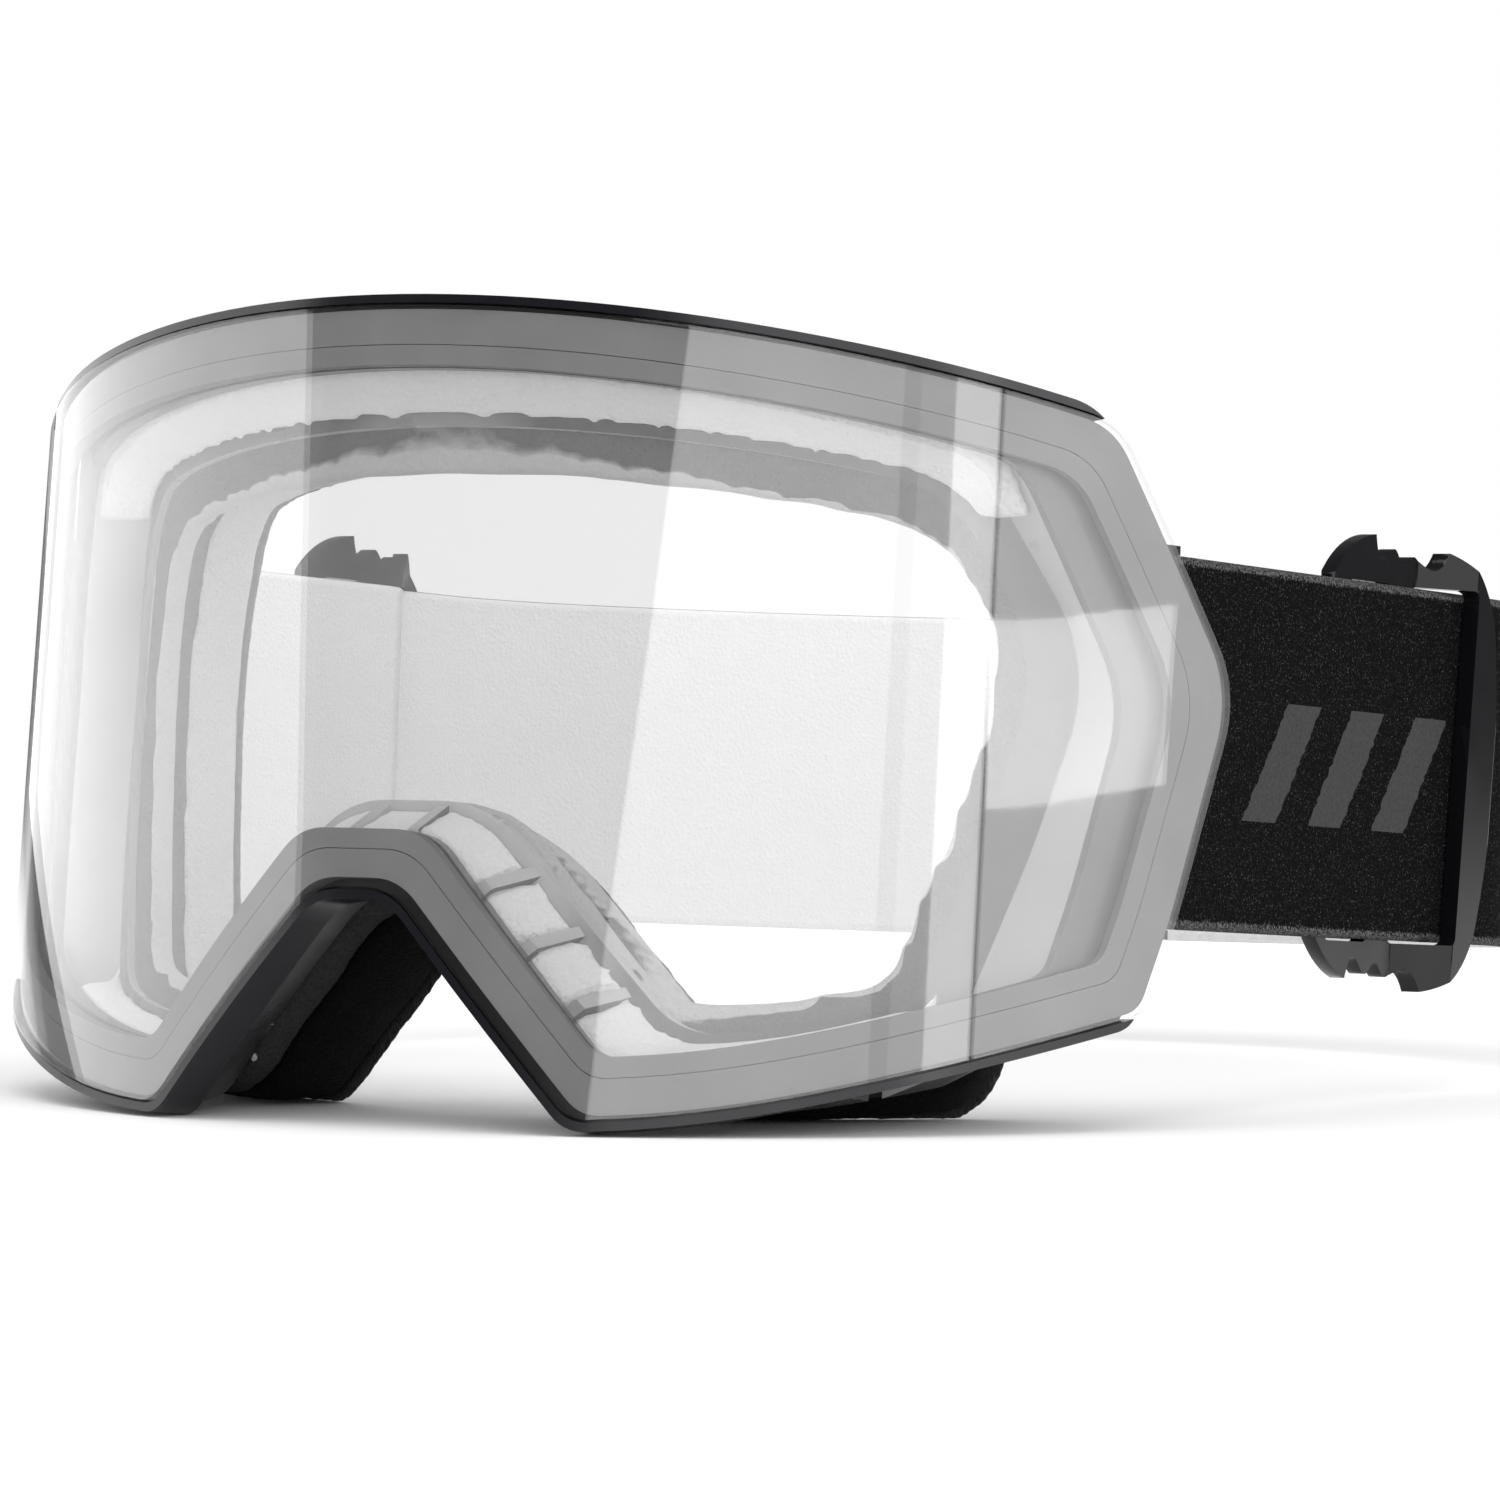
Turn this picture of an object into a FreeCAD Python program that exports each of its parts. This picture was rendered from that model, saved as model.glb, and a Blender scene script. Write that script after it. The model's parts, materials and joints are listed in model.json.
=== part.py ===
# Frameless cylindrical ski goggles, resting on a flat surface with the strap standing up behind.
# Millimetres. +X is the wearer's left, the lens faces -Y, +Z is up, z = 0 is the surface they rest on.
#
# Two working frames are used, and each sub-part's Placement carries it into the part's own frame:
#   mask frame   the lens cylinder's axis is vertical; the mask leans back by mask_lean
#   strap frame  the strap's middle line is level; the strap droops to the rear by strap_tilt
import FreeCAD
import Part
import math
import os
import Sketcher
from FreeCAD import Placement, Rotation, Vector

doc = FreeCAD.newDocument("ski_goggles")

# ---------------------------------------------------------------- driving dimensions
SIZES = [
    # lens, unrolled flat: "reach" is the distance along the curved glass from its middle line
    ("lens_radius", 108.1),
    ("lens_height", 105.0),
    ("crown_fall", 7.67),
    ("crown_flattening", 0.66),
    ("crown_span", 80.0),
    ("corner_reach", 99.6),
    ("corner_height", 94.4),
    ("apex_reach", 119.4),
    ("apex_height", 61.5),
    ("bend_reach", 112.0),
    ("bend_height", 30.7),
    ("heel_reach", 108.3),
    ("heel_height", 18.9),
    ("sole_reach", 85.5),
    ("sole_height", 11.5),
    ("toe_reach", 60.8),
    ("toe_height", 4.5),
    ("tip_reach", 33.6),
    ("tip_height", 0.0),
    ("nose_reach", 6.3),
    ("nose_height", 29.0),
    # lens stack, from the outside in
    ("outer_lens_thickness", 1.2),
    ("lens_air_gap", 2.2),
    ("inner_lens_thickness", 0.8),
    ("seat_clearance", 0.3),
    ("seat_thickness", 2.2),
    ("rim_gap", 0.35),
    ("rim_wall", 1.1),
    # frame and foam, measured backwards from the lens
    ("face_radius", 92.4),
    ("frame_depth", 15.5),
    ("flange_thickness", 1.8),
    ("frame_wall", 2.0),
    ("base_foam_depth", 22.5),
    ("core_foam_depth", 37.0),
    ("fleece_thickness", 1.6),
    ("magnet_radius", 1.7),
    ("magnet_thickness", 1.4),
    # stance
    ("mask_lean", 6.95),
    ("mask_lift", 2.55),
    ("middle_depth", 109.4),
    # strap
    ("strap_width", 48.5),
    ("strap_thickness", 1.6),
    ("strap_tilt", 3.8),
    ("strap_height", 45.6),
    ("strap_side", 87.9),
    ("strap_straight_end", 154.0),
    ("strap_corner_radius", 34.0),
    ("strap_corner_turn", 40.0),
    # anchor that the strap folds round
    ("anchor_bar_radius", 1.9),
    ("anchor_depth", 65.5),
    ("anchor_arm", 1.2),
    # slider
    ("slider_depth", 129.0),
    ("slider_turn", 5.0),
    ("slider_thickness", 2.2),
    ("slider_length", 42.0),
    ("slider_height", 61.0),
    ("slider_window_height", 49.4),
    ("slider_joggle", 5.05),
]

sheet = doc.addObject("Spreadsheet::Sheet", "Sizes")
for row, (alias, number) in enumerate(SIZES, start=1):
    sheet.set("A%d" % row, alias)
    sheet.set("B%d" % row, str(number))
    sheet.setAlias("B%d" % row, alias)
doc.recompute()


def size(alias):
    """A driving dimension, read back from the spreadsheet."""
    return float(sheet.get(alias))


R_LENS = size("lens_radius")
STRAP_HALF = size("strap_width") / 2

mask_frame = Placement(
    Vector(0, -size("middle_depth"), size("mask_lift")),
    Rotation(Vector(1, 0, 0), -size("mask_lean")),
)


def strap_frame():
    """The strap's frame turns about the slider, so that the slider keeps its height."""
    turn = Rotation(Vector(1, 0, 0), -size("strap_tilt"))
    slider = Vector(0, size("slider_depth"), 0)
    place = Vector(0, size("slider_depth") - size("middle_depth"), size("strap_height"))
    return Placement(place - turn.multVec(slider), turn)


# ---------------------------------------------------------------- where the strap is held
STRAP = size("strap_thickness")
OUTER_X = size("strap_side")
ANCHOR_Y = size("anchor_depth")
BAR_PLAY = 0.1
FOLD_RADIUS = size("anchor_bar_radius") + BAR_PLAY + STRAP / 2
BAR_X = OUTER_X - FOLD_RADIUS
INNER_X = BAR_X - FOLD_RADIUS

# ---------------------------------------------------------------- the outline and its rings
SHORTEST_EDGE = 2.0
CROWN_STEPS = 3
# the outline's points below the crown: how much each is rounded, and the edge that follows it
CORNERS = [
    ("corner", 4.5, "cheek"),
    ("apex", 7.0, "jaw"),
    ("bend", 3.0, "jaw"),
    ("heel", 2.2, "sole"),
    ("sole", 0, "sole"),
    ("toe", 0, "sole"),
    ("tip", 3.2, "nose"),
    ("nose", 4.0, "nose"),
]


def half_outline():
    """Right half of the glass outline, unrolled: (reach, height, rounding, edge that follows)."""
    points = []
    for step in range(CROWN_STEPS + 1):
        part = step / CROWN_STEPS
        height = size("lens_height") - size("crown_fall") * part**2 + size("crown_flattening") * part**4
        points.append((size("crown_span") * part, height, 0, "crown"))
    for name, rounding, edge in CORNERS:
        points.append((size(name + "_reach"), size(name + "_height"), rounding, edge))
    return points


def full_outline():
    """The whole closed outline, clockwise from the middle of the crown."""
    right = half_outline()
    edges = [point[3] for point in right]
    left = []
    for index in range(len(right) - 1, 0, -1):
        reach, height, rounding, _ = right[index]
        left.append((-reach, height, rounding, edges[index - 1]))
    return right + left


def crossing(first, second):
    """Where two lines, each (x, z, direction x, direction z), cross."""
    cross = first[2] * second[3] - first[3] * second[2]
    along = ((second[0] - first[0]) * second[3] - (second[1] - first[1]) * second[2]) / cross
    return first[0] + first[2] * along, first[1] + first[3] * along


def moved_outline(moves):
    """The outline with each edge moved outwards by its own amount, as corner points.

    A short edge that a large move turns inside out is dropped, and its neighbours meet instead.
    """
    points = full_outline()
    lines = []
    for index, (x0, z0, rounding, edge) in enumerate(points):
        x1, z1, _, _ = points[(index + 1) % len(points)]
        length = math.hypot(x1 - x0, z1 - z0)
        along = ((x1 - x0) / length, (z1 - z0) / length)
        shift = moves[edge]
        lines.append((x0 - along[1] * shift, z0 + along[0] * shift, along[0], along[1], rounding))
    while True:
        corners = [crossing(lines[index - 1], lines[index]) for index in range(len(lines))]
        turned = None
        for index, line in enumerate(lines):
            x0, z0 = corners[index]
            x1, z1 = corners[(index + 1) % len(lines)]
            if (x1 - x0) * line[2] + (z1 - z0) * line[3] < SHORTEST_EDGE:
                turned = index
                break
        if turned is None:
            break
        following = (turned + 1) % len(lines)
        rounding = max(lines[turned][4], lines[following][4])
        lines[following] = lines[following][:4] + (rounding,)
        del lines[turned]
    return [(x, z, line[4]) for (x, z), line in zip(corners, lines)]


def outline_segments(moves):
    """The moved outline as a list of segments, each a list of points with round corners between."""
    points = moved_outline(moves)
    count = len(points)
    corners = [index for index in range(count) if points[index][2] > 0]
    cut_points = {}
    for index in corners:
        x, z, rounding = points[index]
        ends = []
        for other in (points[index - 1], points[(index + 1) % count]):
            length = math.hypot(other[0] - x, other[1] - z)
            part = min(rounding * moves["soften"], 0.45 * length) / length
            ends.append((x + (other[0] - x) * part, z + (other[1] - z) * part))
        cut_points[index] = ends
    segments = []
    for order, index in enumerate(corners):
        start, end = cut_points[index]
        x, z, _ = points[index]
        middle = ((start[0] + end[0] + 2 * x) / 4, (start[1] + end[1] + 2 * z) / 4)
        segments.append([start, middle, end])
        following = corners[(order + 1) % len(corners)]
        run = [end]
        step = (index + 1) % count
        while step != following:
            run.append(points[step][:2])
            step = (step + 1) % count
        run.append(cut_points[following][0])
        if len(run) == 2:
            (x0, z0), (x1, z1) = run
            run = [(x0 + (x1 - x0) * part, z0 + (z1 - z0) * part) for part in (0, 0.25, 0.5, 0.75, 1)]
        segments.append(run)
    return segments


def on_cylinder(radius):
    """Places an unrolled point on a cylinder about the lens axis."""

    def place(reach, height):
        angle = reach / R_LENS
        return Vector(radius * math.sin(angle), R_LENS - radius * math.cos(angle), height)

    return place


def on_face(depth):
    """Places an unrolled point on the face curve, depth behind the front of the lens."""
    radius = size("face_radius")

    def place(reach, height):
        x = R_LENS * math.sin(reach / R_LENS)
        return Vector(x, depth + radius - math.sqrt(radius**2 - x**2), height)

    return place


def on_radial_plane(distance):
    """Places an unrolled point on a plane at this distance from the lens axis, along its radius."""

    def place(reach, height):
        return Vector(distance * math.tan(reach / R_LENS), R_LENS - distance, height)

    return place


def outline_wire(moves, place):
    """A closed wire of smooth curves: the moved outline, put on a surface."""
    edges = []
    for segment in outline_segments(moves):
        curve = Part.BSplineCurve()
        parameters = [0.0]
        for (x0, z0), (x1, z1) in zip(segment, segment[1:]):
            parameters.append(parameters[-1] + math.hypot(x1 - x0, z1 - z0))
        parameters = [value / parameters[-1] for value in parameters]
        curve.interpolate(Points=[place(*point) for point in segment], Parameters=parameters)
        edges.append(curve.toShape())
    return Part.Wire(edges)


def closed_ring(wires):
    """A ring whose cross-section has one corner on each of the wires, joined by ruled faces."""
    faces = []
    for index, wire in enumerate(wires):
        following = wires[(index + 1) % len(wires)]
        for edge, other in zip(wire.Edges, following.Edges):
            faces.append(Part.makeRuledSurface(edge, other))
    shell = Part.makeShell(faces)
    shell.sewShape()
    solid = Part.makeSolid(shell)
    solid.fix(1e-4, 1e-4, 1e-2)
    if solid.Volume < 0:
        solid.reverse()
    return solid


def moves(crown, cheek, jaw, sole, nose, soften=1.0):
    """How far each edge of the outline is moved outwards, and how much rounder its corners get."""
    return {"crown": crown, "cheek": cheek, "jaw": jaw, "sole": sole, "nose": nose, "soften": soften}


def even(amount):
    """Every edge moved by the same amount."""
    return moves(amount, amount, amount, amount, amount)


def add_shape(name, shape, placement):
    """A sub-part whose shape is made by code from the spreadsheet's sizes."""
    piece = doc.addObject("Part::Feature", name)
    piece.Label = name
    piece.Shape = shape
    piece.Placement = placement
    return piece


# ---------------------------------------------------------------- lens unit
STACK_TOP = size("lens_radius") - size("outer_lens_thickness")
STACK_END = STACK_TOP - size("lens_air_gap") - size("inner_lens_thickness")
SEAT_FRONT = STACK_END - size("seat_clearance")
SEAT_BACK = SEAT_FRONT - size("seat_thickness")
GASKET_INSET = 5.0
BORDER_WIDTH = 7.7
MAGNET_INSET = 3.1
CARRIER_MARGIN = 0.4
NOSE_DRAW = 1.3
BOND = 0.1
BLOCK_REACH = (116.0, 30.0)
OVERRUN = 20
# the outline corners that each magnet lies between, and how far it stands clear of the face below it
MAGNET_EDGES = [(1, 1), (3, 3), (4, 5), (5, 6), (8, 8), (9, 9), (10, 11)]
MAGNET_PLAY = 0.05


def radial_block(edge_moves):
    """A block with the moved outline's radial side walls, reaching through the whole lens stack."""
    wires = [outline_wire(edge_moves, on_radial_plane(distance)) for distance in BLOCK_REACH]
    return Part.makeLoft(wires, True, True)


def radial_cutter(name, amount):
    """The same block as an object of the document, for a lens to be trimmed with."""
    cutter = doc.addObject("Part::Feature", name)
    cutter.Shape = radial_block(even(amount))
    return cutter


def lens_sheet(name, cutter, outer, inner):
    """A cylindrical sheet between two radii, given as expressions, trimmed to an outline."""
    blanks = []
    for suffix, radius in (("outside", outer), ("inside", inner)):
        blank = doc.addObject("Part::Cylinder", name + "_" + suffix)
        blank.setExpression("Radius", radius)
        blank.setExpression("Height", "Sizes.lens_height + %d" % (2 * OVERRUN))
        blank.Placement = Placement(Vector(0, R_LENS, -OVERRUN), Rotation())
        blanks.append(blank)
    shell = doc.addObject("Part::Cut", name + "_shell")
    shell.Base, shell.Tool = blanks
    lens = doc.addObject("Part::Common", name)
    lens.Base = shell
    lens.Tool = cutter
    lens.Label = name
    lens.Placement = mask_frame
    return lens


STACK = "Sizes.lens_radius - Sizes.outer_lens_thickness"
lens_outer = lens_sheet("lens_outer", radial_cutter("outline_cutter", 0.0), "Sizes.lens_radius", STACK)
lens_inner = lens_sheet(
    "lens_inner",
    radial_cutter("inner_cutter", -GASKET_INSET - BOND),
    STACK + " - Sizes.lens_air_gap",
    STACK + " - Sizes.lens_air_gap - Sizes.inner_lens_thickness",
)


def cylinder_shell(outer_radius, inner_radius):
    """A tall shell about the lens axis."""
    foot = Vector(0, R_LENS, -OVERRUN)
    tall = size("lens_height") + 2 * OVERRUN
    return Part.makeCylinder(outer_radius, tall, foot).cut(Part.makeCylinder(inner_radius, tall, foot))


def radial_ring(outer_moves, inner_moves, outer_radius, inner_radius):
    """A ring round the lens with its walls along the lens radius."""
    block = cylinder_shell(outer_radius, inner_radius).common(radial_block(outer_moves))
    return block.cut(radial_block(inner_moves))


def magnet_group(outer_radius):
    """Round magnets lying flat in a ring: on the crown, both cheek edges, the sole and the nose."""
    line = moved_outline(even(-MAGNET_INSET))
    magnets = []
    for first, second in MAGNET_EDGES:
        reach = (line[first][0] + line[second][0]) / 2
        height = (line[first][1] + line[second][1]) / 2
        for side in (1, -1):
            angle = side * reach / R_LENS
            outward = Vector(math.sin(angle), -math.cos(angle), 0)
            start = Vector(0, R_LENS, height) + outward * (outer_radius - size("magnet_thickness"))
            magnets.append(Part.makeCylinder(size("magnet_radius"), size("magnet_thickness"), start, outward))
    return Part.makeCompound(magnets)


INNER_LENS_TOP = STACK_TOP - size("lens_air_gap")
gasket = radial_ring(even(-GASKET_INSET - BOND), even(-BORDER_WIDTH), STACK_TOP - BOND, INNER_LENS_TOP + BOND)
add_shape("lens_gasket", gasket, mask_frame)
lens_magnets = magnet_group(STACK_END + size("magnet_thickness") + MAGNET_PLAY)
# the carrier stands further back along the nose, so that the lens can be drawn straight forwards
carrier_outside = dict(even(-CARRIER_MARGIN), nose=-NOSE_DRAW)
carrier = radial_ring(carrier_outside, even(-GASKET_INSET), STACK_TOP - BOND, STACK_END)
add_shape("lens_carrier", carrier.cut(lens_magnets), mask_frame)
add_shape("lens_magnets", lens_magnets, mask_frame)

# ---------------------------------------------------------------- front rim
RIM_OUT = size("rim_gap") + size("rim_wall")
SIDE_HIDE = -1.0
SIDE_SEAT = -13.0
LIP_SET_BACK = 0.4
FOLD_PLAY = 0.4
rim_outside = moves(RIM_OUT, SIDE_HIDE, SIDE_HIDE, RIM_OUT, RIM_OUT)
seat_inside = moves(-BORDER_WIDTH, SIDE_SEAT, SIDE_SEAT, -BORDER_WIDTH, -BORDER_WIDTH)


def fold_hollow(side):
    """Room for the strap's fold round its anchor bar, in the mask frame."""
    half = STRAP_HALF + FOLD_PLAY
    radius = FOLD_RADIUS + STRAP / 2 + FOLD_PLAY
    hollow = Part.makeCylinder(radius, 2 * half, Vector(side * BAR_X, ANCHOR_Y, -half))
    hollow.Placement = mask_frame.inverse().multiply(strap_frame())
    return hollow


seat = radial_ring(rim_outside, seat_inside, SEAT_FRONT, SEAT_BACK)
lip = radial_ring(rim_outside, even(size("rim_gap")), R_LENS - LIP_SET_BACK, SEAT_FRONT)
rim_magnets = magnet_group(SEAT_FRONT - MAGNET_PLAY)
rim_shape = seat.fuse(lip).cut(rim_magnets)
for side in (1, -1):
    rim_shape = rim_shape.cut(fold_hollow(side))
add_shape("front_rim", rim_shape, mask_frame)
add_shape("rim_magnets", rim_magnets, mask_frame)

# ---------------------------------------------------------------- frame body
FRAME = size("frame_depth")
FLANGE = FRAME - size("flange_thickness")
WALL = size("frame_wall")
REAR_SOFTEN = 1.5
INNER_SOFTEN = 1.8
# the wall's outer face at its front and rear, and the rear flange's inner edge
wall_front = (0.6, -11.0, -11.0, 0.6, 0.0)
wall_rear = (-3.0, -25.0, -31.0, -0.8, -1.0)
flange_inner = moves(-14.0, -32.0, -39.0, -11.0, -12.5, INNER_SOFTEN)

RIB_THICKNESS = 1.7
RIB_SET_BACK = 0.4
RIB_LEAD = 0.2
RIB_OUTSIDE = 1.0
RIB_FRONT_WIDTH = 6.9
RIB_REAR_WIDTH = 11.2
NOSE_RIBS = (0.16, 0.42, 0.68)
CROWN_RIB_X = 4.6
CROWN_RIB_BITE = 0.6

VENT_WIDTH = 9.0
VENT_HEIGHT = 9.0
VENT_FRONT_BAR = 2.4
VENT_REAR_BAR = 1.0
CROWN_VENT_TOP = 101.0
CROWN_VENTS = (0, 14, -14, 28, -28, 42, -42, 56, -56)
SOLE_VENTS = (49, 63)
SOLE_VENT_LOW = 3.46
SOLE_SLOPE = 0.26


def thinner(amounts, wall, soften=1.0):
    """The same edges moved inwards by a wall's thickness."""
    return moves(*[amount - wall for amount in amounts], soften)


def nose_line_point(part, inset):
    """A point on the nose edge, part of the way down the flank, moved into the mask by inset."""
    line = moved_outline(even(-inset))
    middle = len(line) // 2
    top, low = line[middle], line[middle - 1]
    return top[0] + (low[0] - top[0]) * part, top[1] + (low[1] - top[1]) * part


def nose_rib(part, side):
    """A web across the vent channel, square to the nose flank."""
    place = on_cylinder(SEAT_BACK)
    start = place(*nose_line_point(part, RIB_OUTSIDE))
    inner_point = nose_line_point(part, BORDER_WIDTH)
    end = place(*inner_point)
    flank_low = place(*nose_line_point(part + 0.1, RIB_OUTSIDE))
    along = Vector(flank_low.x - start.x, 0, flank_low.z - start.z).normalize()
    inward = Vector(-along.z, 0, along.x)
    if inward.dot(end - start) < 0:
        inward = -inward
    front = start.y - RIB_LEAD
    rear = on_face(FLANGE + size("flange_thickness") / 2)(inner_point[0], 0).y
    corners = []
    for inset, depth in ((0.0, front), (RIB_FRONT_WIDTH, front), (RIB_REAR_WIDTH, rear), (RIB_OUTSIDE, rear)):
        corner = start + inward * inset
        corners.append(Vector(corner.x, depth, corner.z) - along * RIB_THICKNESS / 2)
    rib = Part.Face(Part.makePolygon(corners + corners[:1])).extrude(along * RIB_THICKNESS)
    if side < 0:
        rib = rib.mirror(Vector(0, 0, 0), Vector(1, 0, 0))
    return rib


def crown_rib(x):
    """An upright web across the vent channel over the bridge of the nose."""
    foot = size("nose_height") + RIB_OUTSIDE
    front = on_cylinder(SEAT_BACK)(x, 0).y - RIB_LEAD
    rear = FLANGE + CROWN_RIB_BITE
    corners = []
    for rise, y in ((0.0, front), (RIB_FRONT_WIDTH, front), (RIB_REAR_WIDTH, rear), (RIB_OUTSIDE, rear)):
        corners.append(Vector(x - RIB_THICKNESS / 2, y, foot + rise))
    return Part.Face(Part.makePolygon(corners + corners[:1])).extrude(Vector(RIB_THICKNESS, 0, 0))


def vent_window(x, height):
    """A block that opens the crown or sole wall between the front seat and the rear flange."""
    front = R_LENS - math.sqrt(SEAT_BACK**2 - x**2) + VENT_FRONT_BAR
    back = on_face(FLANGE)(R_LENS * math.asin(x / R_LENS), 0).y - VENT_REAR_BAR
    corner = Vector(x - VENT_WIDTH / 2, front, height - VENT_HEIGHT / 2)
    return Part.makeBox(VENT_WIDTH, back - front, VENT_HEIGHT, corner)


ribs = [nose_rib(part, side) for part in NOSE_RIBS for side in (1, -1)]
ribs += [crown_rib(x) for x in (-CROWN_RIB_X, CROWN_RIB_X)]
windows = []
for x in CROWN_VENTS:
    windows.append(vent_window(x, CROWN_VENT_TOP - size("crown_fall") * (x / size("crown_span")) ** 2))
for x in SOLE_VENTS:
    for side in (1, -1):
        windows.append(vent_window(side * x, SOLE_VENT_LOW + (x - SOLE_VENTS[0]) * SOLE_SLOPE))

frame_ring = closed_ring(
    [
        outline_wire(moves(*wall_front), on_cylinder(SEAT_BACK)),
        outline_wire(moves(*wall_rear, REAR_SOFTEN), on_face(FRAME)),
        outline_wire(flange_inner, on_face(FRAME)),
        outline_wire(flange_inner, on_face(FLANGE)),
        outline_wire(thinner(wall_rear, WALL, REAR_SOFTEN), on_face(FLANGE)),
        outline_wire(thinner(wall_front, WALL), on_cylinder(SEAT_BACK)),
    ]
)
frame_shape = frame_ring
for rib in ribs:
    frame_shape = frame_shape.fuse(rib.cut(cylinder_shell(R_LENS + OVERRUN, SEAT_BACK - RIB_SET_BACK)))
for window in windows:
    frame_shape = frame_shape.cut(window)
frame_body = add_shape("frame_body", frame_shape, mask_frame)

# ---------------------------------------------------------------- vent foam in the channel
GLUE_LINE = 0.3
CROWN_FOAM_HALF = 75
CROWN_FOAM_LOW = 82
LOWER_FOAM_HALF = 66
LOWER_FOAM_HIGH = 44
vent_foam_rear = moves(-13.3, -30.5, -37.5, -10.3, -11.6, INNER_SOFTEN)
vent_foam_front = moves(-8.2, -17.5, -17.5, -8.2, -8.2)


def foam_region(half_width, low, high):
    """A block between two heights, wide enough for one run of the vent foam."""
    return Part.makeBox(2 * half_width, 120, high - low, Vector(-half_width, -OVERRUN, low))


vent_ring = closed_ring(
    [
        outline_wire(thinner(wall_front, WALL + GLUE_LINE), on_cylinder(SEAT_BACK - GLUE_LINE)),
        outline_wire(thinner(wall_rear, WALL + GLUE_LINE, REAR_SOFTEN), on_face(FLANGE - GLUE_LINE)),
        outline_wire(vent_foam_rear, on_face(FLANGE - GLUE_LINE)),
        outline_wire(vent_foam_front, on_cylinder(SEAT_BACK - GLUE_LINE)),
    ]
)
crown_foam = vent_ring.common(foam_region(CROWN_FOAM_HALF, CROWN_FOAM_LOW, size("lens_height") + OVERRUN))
lower_foam = vent_ring.common(foam_region(LOWER_FOAM_HALF, -OVERRUN, LOWER_FOAM_HIGH))
add_shape("vent_foam_crown", crown_foam, mask_frame)
add_shape("vent_foam_lower", lower_foam.cut([rib.copy() for rib in ribs]), mask_frame)

# ---------------------------------------------------------------- face foam
FLOOR_SPAN = 400
floor_block = Part.makeBox(FLOOR_SPAN, FLOOR_SPAN, 40, Vector(-FLOOR_SPAN / 2, -FLOOR_SPAN / 2, -40))
floor_block = floor_block.transformed(mask_frame.inverse().toMatrix())


def foam_layer(name, front, back, front_outer, back_outer, front_inner, back_inner):
    """A ring of foam between two depths, flat where it rests."""
    ring = closed_ring(
        [
            outline_wire(front_outer, on_face(front)),
            outline_wire(back_outer, on_face(back)),
            outline_wire(back_inner, on_face(back)),
            outline_wire(front_inner, on_face(front)),
        ]
    )
    return add_shape(name, ring.cut(floor_block), mask_frame)


BASE = size("base_foam_depth")
CORE = size("core_foam_depth")
FLEECE = CORE + BOND
# each layer's outer edge at the front and back, then its inner edge at the front and back
FOAM_EDGES = {
    "foam_base": (
        moves(-3.6, -25.5, -31.5, -1.0, -0.6, 2.0),
        moves(-4.2, -27.0, -32.5, -0.6, 1.0, 2.4),
        moves(-20.0, -37.0, -45.0, -16.0, -13.5, 1.8),
        moves(-20.5, -37.5, -45.5, -16.0, -12.5, 1.8),
    ),
    "foam_core": (
        moves(-3.6, -27.0, -32.0, 0.6, 2.2, 2.4),
        moves(-7.0, -31.0, -36.0, 1.0, 4.2, 3.2),
        moves(-18.6, -37.5, -45.5, -15.0, -12.5, 1.8),
        moves(-16.4, -38.0, -46.0, -13.0, -9.0, 1.8),
    ),
    "face_fleece": (
        moves(-7.4, -31.4, -36.4, 0.6, 3.8, 3.2),
        moves(-8.6, -32.6, -37.6, -0.6, 2.6, 3.2),
        moves(-16.0, -37.6, -45.6, -12.6, -8.6, 1.8),
        moves(-14.8, -36.4, -44.4, -11.4, -7.4, 1.8),
    ),
}
foam_layer("foam_base", FRAME + GLUE_LINE, BASE, *FOAM_EDGES["foam_base"])
foam_layer("foam_core", BASE + GLUE_LINE, CORE, *FOAM_EDGES["foam_core"])
foam_layer("face_fleece", FLEECE, FLEECE + size("fleece_thickness"), *FOAM_EDGES["face_fleece"])

# ---------------------------------------------------------------- sketch helpers
def origin_plane(body, role):
    """A body's own XY or YZ plane."""
    for plane in body.Origin.OriginFeatures:
        if plane.Role == role:
            return plane
    raise ValueError(role)


def new_sketch(body, name, role):
    """An empty sketch on one of a body's planes."""
    sketch = body.newObject("Sketcher::SketchObject", name)
    sketch.AttachmentSupport = [(origin_plane(body, role), "")]
    sketch.MapMode = "FlatFace"
    return sketch


def add_curves(sketch, curves):
    """Adds curves to a sketch and fixes them where the sizes put them."""
    for curve in curves:
        index = sketch.addGeometry(curve, False)
        sketch.addConstraint(Sketcher.Constraint("Block", index))


def arc(centre, radius, start, end):
    """An arc of a circle, in degrees, anticlockwise."""
    circle = Part.Circle(Vector(centre[0], centre[1], 0), Vector(0, 0, 1), radius)
    return Part.ArcOfCircle(circle, math.radians(start), math.radians(end))


def line(start, end):
    """A straight line between two sketch points."""
    return Part.LineSegment(Vector(start[0], start[1], 0), Vector(end[0], end[1], 0))


def rounded_path(points, radius):
    """A closed path of straight lines with an arc of this radius at each corner."""
    count = len(points)
    trims = []
    for index in range(count):
        corner = Vector(*points[index], 0)
        before = (Vector(*points[index - 1], 0) - corner).normalize()
        after = (Vector(*points[(index + 1) % count], 0) - corner).normalize()
        half = before.getAngle(after) / 2
        setback = radius / math.tan(half)
        centre = corner + (before + after).normalize() * (radius / math.sin(half))
        near = centre + (corner - centre).normalize() * radius
        trims.append((corner + before * setback, near, corner + after * setback))
    curves = []
    for index in range(count):
        start, near, end = trims[index]
        curves.append(Part.Arc(start, near, end))
        following = trims[(index + 1) % count][0]
        if (following - end).Length > 1e-6:
            curves.append(Part.LineSegment(end, following))
    return curves


def new_body(name):
    """A PartDesign body whose label is the sub-part's name."""
    body = doc.addObject("PartDesign::Body", name)
    body.Label = name
    return body


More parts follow.
